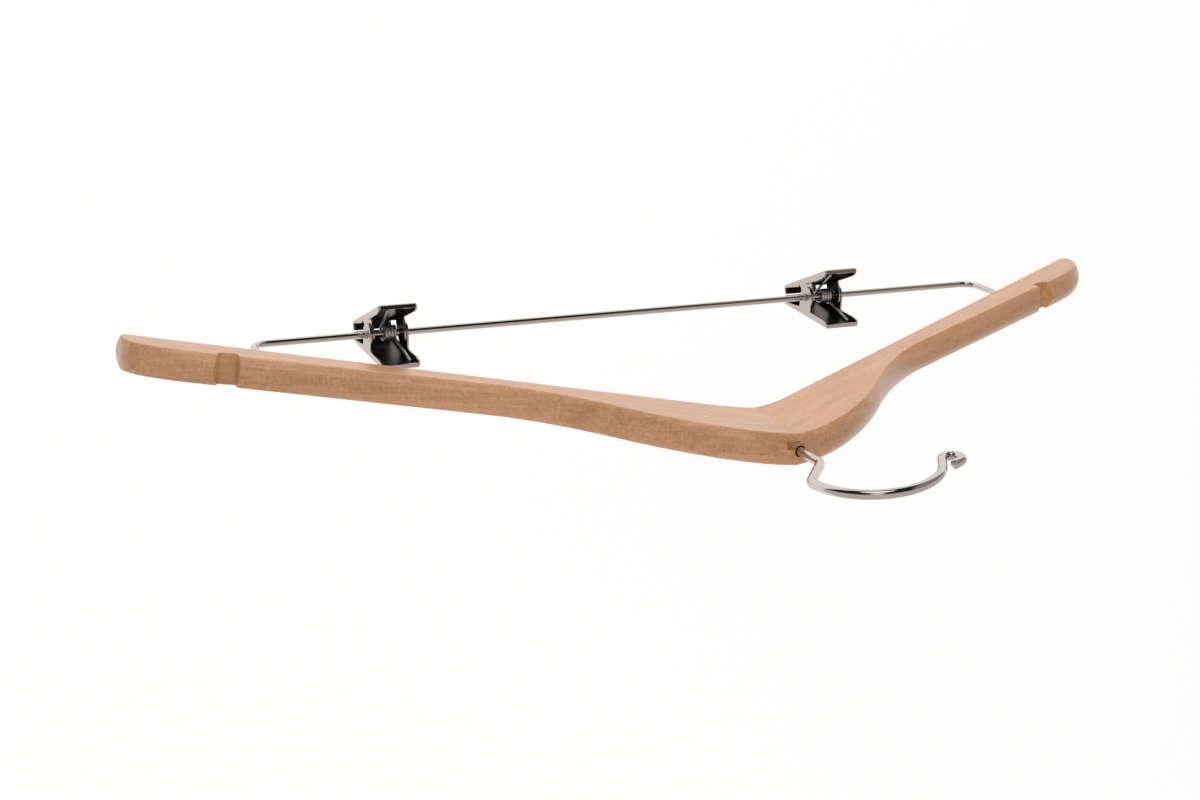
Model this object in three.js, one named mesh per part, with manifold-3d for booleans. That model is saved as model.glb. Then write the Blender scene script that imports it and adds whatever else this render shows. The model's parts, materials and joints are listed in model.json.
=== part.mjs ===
// A wooden clothes hanger with a swivelling wire hook, a wire trouser bar and two spring clips.
// Millimetres, +Z up, hanging. X runs along the hanger and the front of the hanger faces -Y.
import * as THREE from 'three';
import { mergeVertices } from 'three/addons/utils/BufferGeometryUtils.js';
import Module from 'manifold-3d';

const wasm = await Module();
wasm.setup();

// Gap kept between pieces that touch on the real hanger
const FIT = 0.3;

// Wooden arms, measured from the point where their straight lower edges would meet
const HALF_SPAN = 224.4;
const SWEEP = THREE.MathUtils.degToRad(5.7);
const WOOD_THICKNESS = 12.5;
const EDGE_CROWN = 2.4;
const TIP_CROWN_SHARE = 0.25;
const TIP_CROWN_FADE = 6;
const SHOULDER_SLOPE = 0.47;
const CROTCH_ROUND = 17;
const NECK_TOP = 30;
const NECK_TOP_EASE = 20.5;
const NECK_HALF_WIDTH = 56;
const NECK_FLANK_HEIGHT = 22.5;
const NECK_FLANK_SLOPE = 1.1;
const NECK_FLANK_EASE = 11;
const WAIST_AT = 98;
const WAIST_WIDTH = 9.6;
const WAIST_EASE = 16;
const TIP_WIDTH = 16;
const TIP_TOP_ROUND = 24;
const TIP_BOTTOM_ROUND = 3.5;
const TIP_END_HEIGHT = 5;

// Strap notch in the top edge of each arm
const NOTCH_FROM_TIP = 39;
const NOTCH_LENGTH = 8.8;
const NOTCH_DEPTH = 3.8;
const NOTCH_FILLET = 1.2;
const NOTCH_FALL = 0.2;
const NOTCH_OUTER_RUN = 2.6;

// Finger joint between the arms: a tongue of the left arm in a slot of the right one, near the front
const TONGUE_LENGTH = 5.5;
const TONGUE_THICKNESS = 2.2;
const TONGUE_OFFSET = 2.3;
const TONGUE_ROOT = 2;

// Swivel hook, its washer and its upset head
const HOOK_WIRE = 3.7;
const HOOK_HOLE_CLEARANCE = 0.4;
const HOOK_RISE = 12.5;
const HOOK_LEAN = THREE.MathUtils.degToRad(42);
const HOOK_LEAN_RUN = 14.5;
const HOOK_NECK_BEND = 5;
const HOOK_RADIUS = 25.5;
const HOOK_START = THREE.MathUtils.degToRad(6);
const HOOK_END = THREE.MathUtils.degToRad(148);
const HOOK_TAIL = 7;
const HOOK_CURL_RADIUS = 3.6;
const HOOK_CURL_TURN = THREE.MathUtils.degToRad(215);
const HOOK_CURL_RETURN = 4;
const HOOK_TURN = THREE.MathUtils.degToRad(6);
const WASHER_DIAMETER = 10;
const WASHER_THICKNESS = 1;
const HEAD_DIAMETER = 6.5;
const HEAD_THICKNESS = 1.6;
const COUNTERBORE_DEPTH = 5;

// Trouser bar
const BAR_WIRE = 2.8;
const BAR_LEG_AT = 172.4;
const BAR_DROP = 26.3;
const BAR_FORWARD = 1.8;
const BAR_BEND = 7;
const BAR_INSET = 9;

// Spring clips
const RIGHT_CLIP_AT = 115.7;
const LEFT_CLIP_AT = -91;
const CLIP_TILT = THREE.MathUtils.degToRad(10);
const CLIP_WIDTH = 16.5;
const SHEET = 0.8;
const PLATE_ANGLE = THREE.MathUtils.degToRad(13.3);
const PIVOT_DEPTH = 8.9;
const JAW_LENGTH = 18.6;
const HANDLE_LENGTH = 20.2;
const EAR_RADIUS = 4.8;
const FLANGE_DEPTH = 3.2;
const TIP_FLANGE_DEPTH = 1.5;
const HANDLE_LIP = 2.3;

// Torsion springs
const SPRING_WIRE = 1.1;
const COIL_RADIUS = 2.8;
const COIL_PITCH = 1.32;
const COIL_TURNS = 4;
const SPRING_REACH = 15.6;
const SPRING_SHIFT = -1.2;

// Fineness of the facets
const CURVE_STEPS = 16;
const CROWN_LAYERS = 8;
const BEND_STEPS = 6;
const HOOK_STEPS = 28;
const COIL_STEPS_PER_TURN = 14;
const ROUND_SIDES = 24;
const HOOK_SIDES = 12;
const BAR_SIDES = 10;
const SPRING_SIDES = 8;

const WOOD_COLOUR = 0xcfa98c;
const WOOD_ROUGHNESS = 0.45;
const CHROME_COLOUR = 0xd8d8da;
const CHROME_ROUGHNESS = 0.12;
const SPRING_COLOUR = 0x8f969c;
const SPRING_ROUGHNESS = 0.35;

// Solids for cutting and joining

function toSolid(geometry) {
  geometry.deleteAttribute('normal');
  geometry.deleteAttribute('uv');
  const merged = mergeVertices(geometry);
  const vertProperties = new Float32Array(merged.attributes.position.array);
  const triVerts = new Uint32Array(merged.index.array);
  return new wasm.Manifold(new wasm.Mesh({ numProp: 3, vertProperties, triVerts }));
}

function toGeometry(solid) {
  const mesh = solid.getMesh();
  const geometry = new THREE.BufferGeometry();
  geometry.setAttribute('position', new THREE.BufferAttribute(mesh.vertProperties, 3));
  geometry.setIndex(new THREE.BufferAttribute(mesh.triVerts, 1));
  geometry.computeVertexNormals();
  return geometry;
}

function boxSolid(low, high) {
  const size = new THREE.Vector3().subVectors(high, low);
  const middle = new THREE.Vector3().addVectors(low, high).divideScalar(2);
  const geometry = new THREE.BoxGeometry(size.x, size.y, size.z);
  return toSolid(geometry.translate(middle.x, middle.y, middle.z));
}

function uprightCylinder(radius, low, high, x, y) {
  const geometry = new THREE.CylinderGeometry(radius, radius, high - low, ROUND_SIDES);
  geometry.rotateX(Math.PI / 2);
  return toSolid(geometry.translate(x, y, (low + high) / 2));
}

// An outline drawn in Y and Z, made solid between two X planes
function crosswisePrism(shape, lowX, highX) {
  const settings = { depth: highX - lowX, bevelEnabled: false, curveSegments: ROUND_SIDES / 2 };
  const geometry = new THREE.ExtrudeGeometry(shape, settings);
  const alongY = new THREE.Vector3(0, 1, 0);
  const alongZ = new THREE.Vector3(0, 0, 1);
  const alongX = new THREE.Vector3(1, 0, 0);
  geometry.applyMatrix4(new THREE.Matrix4().makeBasis(alongY, alongZ, alongX));
  return toSolid(geometry.translate(lowX, 0, 0));
}

// Wires: a path of straight and curved pieces, each with its own number of steps

class WirePath extends THREE.Curve {
  constructor(pieces) {
    super();
    this.pieces = pieces;
    this.steps = pieces.reduce((sum, piece) => sum + piece.steps, 0);
  }

  getPoint(t, target = new THREE.Vector3()) {
    let station = t * this.steps;
    const last = this.pieces.at(-1);
    for (const piece of this.pieces) {
      if (station <= piece.steps || piece === last) {
        return piece.curve.getPoint(Math.min(station / piece.steps, 1), target);
      }
      station -= piece.steps;
    }
    return target;
  }

  // Stations follow the pieces' own steps, so that straight runs take few of them
  getPointAt(u, target) {
    return this.getPoint(u, target);
  }

  getTangentAt(u, target) {
    return this.getTangent(u, target);
  }
}

class ArcPath extends THREE.Curve {
  constructor(centre, radius, from, turn) {
    super();
    Object.assign(this, { centre, radius, from, turn });
  }

  getPoint(t, target = new THREE.Vector3()) {
    const angle = this.from + this.turn * t;
    const x = this.centre.x + this.radius * Math.cos(angle);
    const z = this.centre.y + this.radius * Math.sin(angle);
    return target.set(x, 0, z);
  }
}

class HelixPath extends THREE.Curve {
  constructor(radius, from, turn, startX, endX) {
    super();
    Object.assign(this, { radius, from, turn, startX, endX });
  }

  getPoint(t, target = new THREE.Vector3()) {
    const angle = this.from + this.turn * t;
    const x = THREE.MathUtils.lerp(this.startX, this.endX, t);
    return target.set(x, this.radius * Math.cos(angle), this.radius * Math.sin(angle));
  }
}

// Draws a wire in the XZ plane as a pen does: straight runs, and bends to the left when positive
class WirePen {
  constructor(x, z, heading) {
    this.at = new THREE.Vector2(x, z);
    this.heading = heading;
    this.pieces = [];
  }

  run(length) {
    const start = new THREE.Vector3(this.at.x, 0, this.at.y);
    this.at.x += length * Math.cos(this.heading);
    this.at.y += length * Math.sin(this.heading);
    const end = new THREE.Vector3(this.at.x, 0, this.at.y);
    this.pieces.push({ curve: new THREE.LineCurve3(start, end), steps: 1 });
    return this;
  }

  bend(radius, turn, steps = BEND_STEPS) {
    const side = Math.sign(turn);
    const from = this.heading - side * Math.PI / 2;
    this.centre = new THREE.Vector2(
      this.at.x - radius * Math.cos(from),
      this.at.y - radius * Math.sin(from),
    );
    this.pieces.push({ curve: new ArcPath(this.centre, radius, from, turn), steps });
    this.at.x = this.centre.x + radius * Math.cos(from + turn);
    this.at.y = this.centre.y + radius * Math.sin(from + turn);
    this.heading += turn;
    return this;
  }
}

function wireGeometry(pieces, diameter, sides) {
  const path = new WirePath(pieces);
  const section = new THREE.Shape().absarc(0, 0, diameter / 2, 0, 2 * Math.PI);
  const settings = { steps: path.steps, extrudePath: path, curveSegments: sides / 2 };
  return new THREE.ExtrudeGeometry(section, settings);
}

// Heights along an arm, for a distance from the centre line

const ARM_LENGTH = HALF_SPAN / Math.cos(SWEEP);

function lowerEdge(along) {
  return -SHOULDER_SLOPE * along;
}

function upperEdge(along) {
  const share = (along - WAIST_AT) / (ARM_LENGTH - WAIST_AT);
  return lowerEdge(along) + THREE.MathUtils.lerp(WAIST_WIDTH, TIP_WIDTH, share);
}

const UPPER_SLOPE = (upperEdge(WAIST_AT) - upperEdge(ARM_LENGTH)) / (ARM_LENGTH - WAIST_AT);
const CROTCH_HEIGHT = lowerEdge(CROTCH_ROUND) / 2;

// Outline of an arm's flat face, from the centre out along the top edge and back below
function armOutline(side) {
  const shape = new THREE.Shape();
  const moveTo = (x, z) => shape.moveTo(side * x, z);
  const lineTo = (x, z) => shape.lineTo(side * x, z);
  const curveTo = (ax, az, bx, bz, x, z) => shape.bezierCurveTo(side * ax, az, side * bx, bz, side * x, z);
  const roundTo = (ax, az, x, z) => shape.quadraticCurveTo(side * ax, az, side * x, z);

  const flank = lowerEdge(NECK_HALF_WIDTH) + NECK_FLANK_HEIGHT;
  const flankRise = NECK_FLANK_EASE * NECK_FLANK_SLOPE;
  const waist = upperEdge(WAIST_AT);
  const tipTop = upperEdge(ARM_LENGTH);
  const tipBottom = lowerEdge(ARM_LENGTH);
  const tipEnd = tipBottom + TIP_END_HEIGHT;

  moveTo(-TONGUE_ROOT, NECK_TOP);
  lineTo(0, NECK_TOP);
  curveTo(
    NECK_TOP_EASE, NECK_TOP,
    NECK_HALF_WIDTH - NECK_FLANK_EASE, flank + flankRise,
    NECK_HALF_WIDTH, flank,
  );
  curveTo(
    NECK_HALF_WIDTH + NECK_FLANK_EASE, flank - flankRise,
    WAIST_AT - WAIST_EASE, waist + WAIST_EASE * UPPER_SLOPE,
    WAIST_AT, waist,
  );
  lineTo(ARM_LENGTH - TIP_TOP_ROUND, upperEdge(ARM_LENGTH - TIP_TOP_ROUND));
  roundTo(ARM_LENGTH, tipTop, ARM_LENGTH, tipEnd);
  roundTo(ARM_LENGTH, tipBottom, ARM_LENGTH - TIP_BOTTOM_ROUND, lowerEdge(ARM_LENGTH - TIP_BOTTOM_ROUND));
  lineTo(CROTCH_ROUND, lowerEdge(CROTCH_ROUND));
  roundTo(CROTCH_ROUND / 2, CROTCH_HEIGHT, 0, CROTCH_HEIGHT);
  lineTo(-TONGUE_ROOT, CROTCH_HEIGHT);
  const points = shape.getPoints(CURVE_STEPS);
  return THREE.ShapeUtils.isClockWise(points) ? points.reverse() : points;
}

// Outward direction at each corner of an outline, lengthened so that an offset keeps its width
function outlineNormals(points) {
  return points.map((point, index) => {
    const before = points.at(index - 1);
    const after = points[(index + 1) % points.length];
    const incoming = new THREE.Vector2().subVectors(point, before).normalize();
    const outgoing = new THREE.Vector2().subVectors(after, point).normalize();
    const sum = new THREE.Vector2(incoming.y + outgoing.y, -incoming.x - outgoing.x);
    return sum.multiplyScalar(2 / sum.lengthSq());
  });
}

// How much of the crown an edge has: nearly all of it fades away where the edge faces outwards, at the tip
function crownShare(normal, side) {
  const outwards = Math.max(0, side * normal.x / normal.length());
  return THREE.MathUtils.lerp(1, TIP_CROWN_SHARE, Math.pow(outwards, TIP_CROWN_FADE));
}

// A board with flat faces and crowned edges: the outline swells between the faces along an arc
function crownedBoard(points, side) {
  const half = WOOD_THICKNESS / 2;
  const crownRadius = (half * half + EDGE_CROWN * EDGE_CROWN) / (2 * EDGE_CROWN);
  const normals = outlineNormals(points);
  const shares = normals.map((normal) => crownShare(normal, side));
  const count = points.length;
  const positions = [];
  const triangles = [];
  for (let layer = 0; layer <= CROWN_LAYERS; layer += 1) {
    const y = -half * Math.cos(Math.PI * layer / CROWN_LAYERS);
    const swell = Math.sqrt(crownRadius * crownRadius - y * y) - (crownRadius - EDGE_CROWN);
    points.forEach((point, index) => {
      const x = point.x + normals[index].x * swell * shares[index];
      const z = point.y + normals[index].y * swell * shares[index];
      positions.push(x, y, z);
    });
  }
  for (let layer = 0; layer < CROWN_LAYERS; layer += 1) {
    for (let index = 0; index < count; index += 1) {
      const here = layer * count + index;
      const next = layer * count + (index + 1) % count;
      triangles.push(here, next + count, next);
      triangles.push(here, here + count, next + count);
    }
  }
  const back = CROWN_LAYERS * count;
  for (const [a, b, c] of THREE.ShapeUtils.triangulateShape(points, [])) {
    triangles.push(a, b, c);
    triangles.push(back + a, back + c, back + b);
  }
  const geometry = new THREE.BufferGeometry();
  geometry.setAttribute('position', new THREE.Float32BufferAttribute(positions, 3));
  geometry.setIndex(triangles);
  return geometry;
}

// The strap notch: an upright wall with a fillet, a floor that falls towards the tip, and a steep outer wall
function notchCutter(side) {
  const wall = ARM_LENGTH - NOTCH_FROM_TIP;
  const outer = wall + NOTCH_LENGTH;
  const foot = outer - NOTCH_OUTER_RUN;
  const floor = upperEdge(wall) - NOTCH_DEPTH;
  const floorAt = (along) => floor - NOTCH_FALL * (along - wall);
  const filletEnd = wall + NOTCH_FILLET;
  const clear = upperEdge(wall) + NOTCH_DEPTH + EDGE_CROWN;
  const shape = new THREE.Shape();
  shape.moveTo(side * wall, clear);
  shape.lineTo(side * wall, floor + NOTCH_FILLET);
  shape.quadraticCurveTo(side * wall, floor, side * filletEnd, floorAt(filletEnd));
  shape.lineTo(side * foot, floorAt(foot));
  shape.lineTo(side * outer, upperEdge(outer) + EDGE_CROWN);
  shape.lineTo(side * outer, clear);
  const settings = { depth: 2 * WOOD_THICKNESS, bevelEnabled: false, curveSegments: CURVE_STEPS };
  const geometry = new THREE.ExtrudeGeometry(shape, settings);
  geometry.rotateX(Math.PI / 2);
  return toSolid(geometry.translate(0, WOOD_THICKNESS, 0).rotateZ(-side * SWEEP));
}

// Places shared by the pieces

const SPAN_MARGIN = 2 * HALF_SPAN;
const WOOD_BOTTOM_AT_CENTRE = CROTCH_HEIGHT - EDGE_CROWN;
const WASHER_SEAT = WOOD_BOTTOM_AT_CENTRE + COUNTERBORE_DEPTH;
const WASHER_TOP = WASHER_SEAT - FIT;
const HEAD_TOP = WASHER_TOP - WASHER_THICKNESS - FIT;
const HOOK_HOLE_RADIUS = HOOK_WIRE / 2 + HOOK_HOLE_CLEARANCE;
const BAR_Y = -BAR_LEG_AT * Math.tan(SWEEP) - BAR_FORWARD;
const BAR_LEG_ALONG = BAR_LEG_AT / Math.cos(SWEEP);
const BAR_Z = lowerEdge(BAR_LEG_ALONG) - BAR_DROP;
const BAR_LEG_TOP = lowerEdge(BAR_LEG_ALONG) + BAR_INSET;

function uncutArm(side) {
  return toSolid(crownedBoard(armOutline(side), side).rotateZ(-side * SWEEP));
}

// Box round the tongue, grown by a clearance
function tongueBox(lowX, highX, clearance) {
  const reach = TONGUE_THICKNESS / 2 + clearance;
  return boxSolid(
    new THREE.Vector3(lowX, -TONGUE_OFFSET - reach, -SPAN_MARGIN),
    new THREE.Vector3(highX, reach - TONGUE_OFFSET, SPAN_MARGIN),
  );
}

function halfSpace(side) {
  const inner = side * FIT / 2;
  const outer = side * SPAN_MARGIN;
  return boxSolid(
    new THREE.Vector3(Math.min(inner, outer), -SPAN_MARGIN, -SPAN_MARGIN),
    new THREE.Vector3(Math.max(inner, outer), SPAN_MARGIN, SPAN_MARGIN),
  );
}

function drilled(arm, side) {
  const legHole = uprightCylinder(
    BAR_WIRE / 2 + FIT, BAR_Z, BAR_LEG_TOP + FIT, side * BAR_LEG_AT, BAR_Y,
  );
  const hookHole = uprightCylinder(HOOK_HOLE_RADIUS, -SPAN_MARGIN, SPAN_MARGIN, 0, 0);
  const counterbore = uprightCylinder(WASHER_DIAMETER / 2 + FIT, -SPAN_MARGIN, WASHER_SEAT, 0, 0);
  return arm.subtract(notchCutter(side)).subtract(legHole).subtract(hookHole).subtract(counterbore);
}

function rightArm() {
  const slot = tongueBox(-TONGUE_LENGTH, TONGUE_LENGTH, FIT);
  const arm = uncutArm(1).intersect(halfSpace(1)).subtract(slot);
  return toGeometry(drilled(arm, 1));
}

function leftArm() {
  const tongue = uncutArm(1).intersect(tongueBox(-TONGUE_ROOT / 2, TONGUE_LENGTH - FIT, 0));
  const arm = uncutArm(-1).intersect(halfSpace(-1)).add(tongue);
  return toGeometry(drilled(arm, -1));
}

// Hook wire, from the upset head up through the neck and round to the curled tip
function hookPen() {
  const upright = Math.PI / 2;
  const arcHeading = upright + HOOK_START;
  const shankLength = NECK_TOP + EDGE_CROWN + HOOK_RISE - HEAD_TOP;
  const pen = new WirePen(0, HEAD_TOP - HEAD_THICKNESS / 2, upright);
  pen.run(shankLength + HEAD_THICKNESS / 2);
  pen.bend(HOOK_NECK_BEND, -HOOK_LEAN);
  pen.run(HOOK_LEAN_RUN);
  pen.bend(HOOK_NECK_BEND, arcHeading - pen.heading);
  pen.bend(HOOK_RADIUS, HOOK_END - HOOK_START, HOOK_STEPS);
  pen.loop = pen.centre;
  pen.run(HOOK_TAIL);
  pen.bend(HOOK_CURL_RADIUS, -HOOK_CURL_TURN, 2 * BEND_STEPS);
  pen.run(HOOK_CURL_RETURN);
  return pen;
}

const hookWire = hookPen();

function hook() {
  const wire = toSolid(wireGeometry(hookWire.pieces, HOOK_WIRE, HOOK_SIDES));
  const head = uprightCylinder(HEAD_DIAMETER / 2, HEAD_TOP - HEAD_THICKNESS, HEAD_TOP, 0, 0);
  return toGeometry(wire.add(head)).rotateZ(HOOK_TURN);
}

function hookWasher() {
  const plate = uprightCylinder(WASHER_DIAMETER / 2, WASHER_TOP - WASHER_THICKNESS, WASHER_TOP, 0, 0);
  const bore = uprightCylinder(HOOK_HOLE_RADIUS, -SPAN_MARGIN, SPAN_MARGIN, 0, 0);
  return toGeometry(plate.subtract(bore));
}

function trouserBar() {
  const pen = new WirePen(-BAR_LEG_AT, BAR_LEG_TOP, -Math.PI / 2);
  const leg = BAR_LEG_TOP - BAR_Z - BAR_BEND;
  pen.run(leg).bend(BAR_BEND, Math.PI / 2).run(2 * (BAR_LEG_AT - BAR_BEND));
  pen.bend(BAR_BEND, Math.PI / 2).run(leg);
  return mergeVertices(wireGeometry(pen.pieces, BAR_WIRE, BAR_SIDES).translate(0, BAR_Y, 0));
}

// Clip jaws, each a folded channel drawn about the pivot with its plate on the +Y side

function rectangle(lowY, highY, lowZ, highZ) {
  const shape = new THREE.Shape();
  shape.moveTo(lowY, lowZ);
  shape.lineTo(highY, lowZ);
  shape.lineTo(highY, highZ);
  shape.lineTo(lowY, highZ);
  return shape;
}

function disc(radius) {
  return new THREE.Shape().absarc(0, 0, radius, 0, 2 * Math.PI);
}

// A strip along the plate with a rounded corner at the handle's end
function flangeStrip() {
  const inner = PIVOT_DEPTH - FLANGE_DEPTH;
  const shape = new THREE.Shape();
  shape.moveTo(PIVOT_DEPTH, -JAW_LENGTH);
  shape.lineTo(PIVOT_DEPTH, HANDLE_LENGTH);
  shape.lineTo(PIVOT_DEPTH - SHEET, HANDLE_LENGTH);
  shape.quadraticCurveTo(inner, HANDLE_LENGTH, inner, HANDLE_LENGTH - FLANGE_DEPTH);
  shape.lineTo(inner, -EAR_RADIUS);
  shape.lineTo(PIVOT_DEPTH - TIP_FLANGE_DEPTH, -JAW_LENGTH);
  return shape;
}

// How far in the jaw's gripping lip comes, so that the two lips meet in the clip's middle plane
function lipEnd() {
  return (FIT / 2 + JAW_LENGTH * Math.sin(PLATE_ANGLE)) / Math.cos(PLATE_ANGLE);
}

function jawChannel() {
  const half = CLIP_WIDTH / 2;
  const plate = rectangle(PIVOT_DEPTH - SHEET, PIVOT_DEPTH, -JAW_LENGTH, HANDLE_LENGTH);
  const jawLip = rectangle(lipEnd(), PIVOT_DEPTH, -JAW_LENGTH, -JAW_LENGTH + SHEET);
  const handleLip = rectangle(
    PIVOT_DEPTH - HANDLE_LIP, PIVOT_DEPTH, HANDLE_LENGTH - SHEET, HANDLE_LENGTH,
  );
  let channel = crosswisePrism(plate, -half, half);
  channel = channel.add(crosswisePrism(jawLip, -half, half));
  return channel.add(crosswisePrism(handleLip, -half, half));
}

// Adds an outline to both sides of a jaw, between two distances from the clip's middle
function bothSides(jaw, shape, inner, outer) {
  return jaw.add(crosswisePrism(shape, inner, outer)).add(crosswisePrism(shape, -outer, -inner));
}

function boredJaw(jaw) {
  const bore = crosswisePrism(disc(BAR_WIRE / 2 + FIT), -CLIP_WIDTH, CLIP_WIDTH);
  return toGeometry(jaw.subtract(bore)).rotateX(-PLATE_ANGLE);
}

// The rear jaw carries the outer pair of ears
function rearJaw() {
  const outer = CLIP_WIDTH / 2;
  const inner = outer - SHEET;
  const band = rectangle(0, PIVOT_DEPTH, -EAR_RADIUS, EAR_RADIUS);
  let jaw = bothSides(jawChannel(), flangeStrip(), inner, outer);
  jaw = bothSides(jaw, band, inner, outer);
  return boredJaw(bothSides(jaw, disc(EAR_RADIUS), inner, outer));
}

// The front jaw's ears are set in by a sheet's thickness, so that they turn inside the rear jaw's
function frontJaw() {
  const outer = CLIP_WIDTH / 2;
  const earOuter = outer - SHEET - FIT;
  const earInner = earOuter - SHEET;
  const swept = EAR_RADIUS + FIT;
  const band = rectangle(0, PIVOT_DEPTH, -EAR_RADIUS, EAR_RADIUS);
  const step = rectangle(swept, PIVOT_DEPTH, -EAR_RADIUS, EAR_RADIUS);
  let jaw = bothSides(jawChannel(), flangeStrip(), outer - SHEET, outer);
  const room = crosswisePrism(disc(swept), -CLIP_WIDTH, CLIP_WIDTH);
  jaw = bothSides(jaw.subtract(room), step, earInner, outer);
  jaw = bothSides(jaw, band, earInner, earOuter);
  jaw = bothSides(jaw, disc(EAR_RADIUS), earInner, earOuter);
  return boredJaw(jaw).rotateZ(Math.PI);
}

// A torsion spring round the bar, with a leg under each handle
function spring() {
  const seat = new THREE.Vector2(PIVOT_DEPTH - SHEET - FIT - SPRING_WIRE / 2, SPRING_REACH);
  seat.rotateAround(new THREE.Vector2(), -PLATE_ANGLE);
  const legLength = Math.sqrt(seat.lengthSq() - COIL_RADIUS * COIL_RADIUS);
  const lead = Math.atan2(legLength, COIL_RADIUS);
  const from = Math.PI - seat.angle() + lead;
  const to = seat.angle() - lead + 2 * Math.PI;
  const turn = to - from + 2 * Math.PI * COIL_TURNS;
  const halfLength = COIL_PITCH * turn / (4 * Math.PI);
  const drift = legLength * COIL_PITCH / (2 * Math.PI * COIL_RADIUS);
  const coil = new HelixPath(COIL_RADIUS, from, turn, halfLength, -halfLength);
  const frontEnd = new THREE.Vector3(halfLength + drift, -seat.x, seat.y);
  const rearEnd = new THREE.Vector3(-halfLength - drift, seat.x, seat.y);
  const pieces = [
    { curve: new THREE.LineCurve3(frontEnd, coil.getPoint(0)), steps: 1 },
    { curve: coil, steps: Math.round(COIL_STEPS_PER_TURN * turn / (2 * Math.PI)) },
    { curve: new THREE.LineCurve3(coil.getPoint(1), rearEnd), steps: 1 },
  ];
  return mergeVertices(wireGeometry(pieces, SPRING_WIRE, SPRING_SIDES)).translate(SPRING_SHIFT, 0, 0);
}

// The finished hanger

function material(color, roughness, metalness) {
  return new THREE.MeshStandardMaterial({ color, roughness, metalness });
}

function piece(parent, name, geometry, look) {
  const mesh = new THREE.Mesh(geometry, look);
  mesh.name = name;
  parent.add(mesh);
}

const wood = () => material(WOOD_COLOUR, WOOD_ROUGHNESS, 0);
const chrome = () => material(CHROME_COLOUR, CHROME_ROUGHNESS, 1);
const springSteel = () => material(SPRING_COLOUR, SPRING_ROUGHNESS, 1);

// The origin is where the rail meets the inside of the hook's loop
const hanger = new THREE.Group();
const seatOut = hookWire.loop.x;
hanger.position.set(
  -seatOut * Math.cos(HOOK_TURN),
  -seatOut * Math.sin(HOOK_TURN),
  -(hookWire.loop.y + HOOK_RADIUS - HOOK_WIRE / 2),
);

piece(hanger, 'right_arm', rightArm(), wood());
piece(hanger, 'left_arm', leftArm(), wood());
piece(hanger, 'hook', hook(), chrome());
piece(hanger, 'hook_washer', hookWasher(), chrome());
piece(hanger, 'trouser_bar', trouserBar(), chrome());

function addClip(name, along) {
  const clip = new THREE.Group();
  clip.position.set(along, BAR_Y, BAR_Z);
  clip.rotation.x = CLIP_TILT;
  piece(clip, `${name}_front_jaw`, frontJaw(), chrome());
  piece(clip, `${name}_rear_jaw`, rearJaw(), chrome());
  piece(clip, `${name}_spring`, spring(), springSteel());
  hanger.add(clip);
}

addClip('right_clip', RIGHT_CLIP_AT);
addClip('left_clip', LEFT_CLIP_AT);

const model = new THREE.Group();
model.add(hanger);

export default model;
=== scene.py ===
import json
from math import atan2, cos, hypot, pi, radians, sin, sqrt

import bmesh
import bpy
from mathutils import Matrix, Vector


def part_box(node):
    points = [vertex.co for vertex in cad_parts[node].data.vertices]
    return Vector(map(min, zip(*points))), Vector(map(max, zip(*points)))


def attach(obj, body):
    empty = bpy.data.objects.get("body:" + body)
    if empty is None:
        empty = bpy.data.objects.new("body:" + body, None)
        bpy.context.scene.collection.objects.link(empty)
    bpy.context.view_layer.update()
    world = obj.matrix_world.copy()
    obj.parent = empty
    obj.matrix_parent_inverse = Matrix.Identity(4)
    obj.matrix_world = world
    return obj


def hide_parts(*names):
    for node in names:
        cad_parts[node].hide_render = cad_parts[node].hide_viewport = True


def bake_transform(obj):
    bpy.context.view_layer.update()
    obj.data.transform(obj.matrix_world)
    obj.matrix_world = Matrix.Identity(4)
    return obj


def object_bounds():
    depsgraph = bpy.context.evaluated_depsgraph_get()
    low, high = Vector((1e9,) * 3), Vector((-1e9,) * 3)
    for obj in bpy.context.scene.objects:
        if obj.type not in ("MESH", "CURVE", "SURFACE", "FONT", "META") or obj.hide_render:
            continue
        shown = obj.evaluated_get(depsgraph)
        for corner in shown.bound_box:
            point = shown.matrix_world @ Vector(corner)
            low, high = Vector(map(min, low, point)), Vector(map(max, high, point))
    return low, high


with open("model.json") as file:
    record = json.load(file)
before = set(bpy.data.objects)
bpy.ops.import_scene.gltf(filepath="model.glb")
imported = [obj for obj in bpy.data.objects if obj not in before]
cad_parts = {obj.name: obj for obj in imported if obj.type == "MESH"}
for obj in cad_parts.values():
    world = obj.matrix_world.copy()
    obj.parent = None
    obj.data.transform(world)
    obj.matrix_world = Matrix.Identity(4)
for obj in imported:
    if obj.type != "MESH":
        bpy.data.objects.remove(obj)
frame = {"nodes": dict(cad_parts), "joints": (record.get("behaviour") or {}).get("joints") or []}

CAD_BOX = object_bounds()
JOINTS = {joint["name"]: joint for joint in frame["joints"]}

# Sizes are in millimetres and are turned to metres when a piece is finished
MM = 0.001
# Clearance between pieces that fit together
FIT = 0.3
# Corners closer than this are one corner
WELD = 0.002

# Hook: wire, bends and curl
HOOK_WIRE = 3.7
HOOK_LEAN = radians(42)
HOOK_LEAN_RUN = 14.5
HOOK_NECK_BEND = 5
HOOK_RADIUS = 25.5
HOOK_START = radians(6)
HOOK_END = radians(148)
HOOK_TAIL = 7
HOOK_CURL_RADIUS = 3.6
HOOK_CURL_TURN = radians(215)
HOOK_CURL_RETURN = 4
HOOK_TURN = radians(6)
HEAD_DIAMETER = 6.5
HEAD_THICKNESS = 1.6
WIRE_END_EASE = 0.5

# Trouser bar
BAR_WIRE = 2.8
BAR_BEND = 7

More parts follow.
